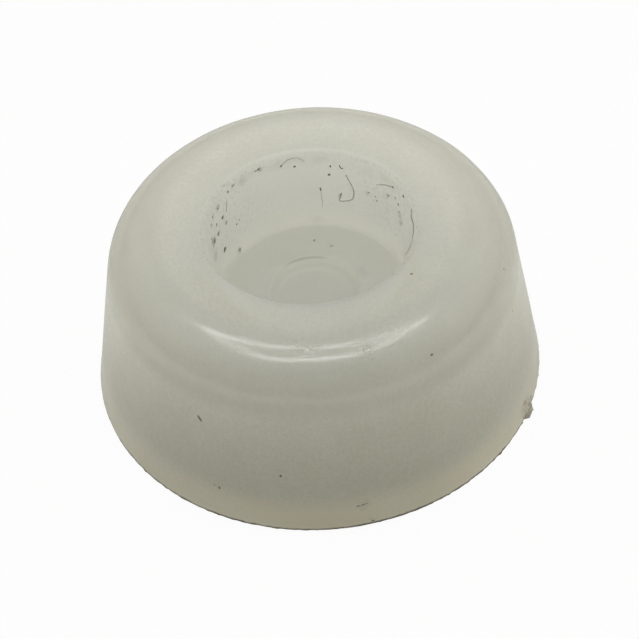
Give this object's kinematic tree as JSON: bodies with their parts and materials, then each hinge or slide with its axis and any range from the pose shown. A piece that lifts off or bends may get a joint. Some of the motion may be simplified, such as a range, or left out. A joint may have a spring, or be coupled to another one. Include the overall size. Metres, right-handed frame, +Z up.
{
  "type": "bumper pad",
  "caption": "Round tapered bumper pad of milky elastomer: flat base, conical side, rounded shoulder and a blind round recess in the top.",
  "frame": {"origin": "centre of the flat base, on the surface that the pad stands on", "axes": "+Z up along the pad's round axis, from the wide base to the recessed top; +X towards the small gate stub at the base edge"},
  "size_m": [0.0226, 0.0222, 0.0095],
  "materials": {
    "milky_elastomer": "satin"
  },
  "bodies": {
    "root": {"bumper_pad": "milky_elastomer"}
  },
  "joints": []
}
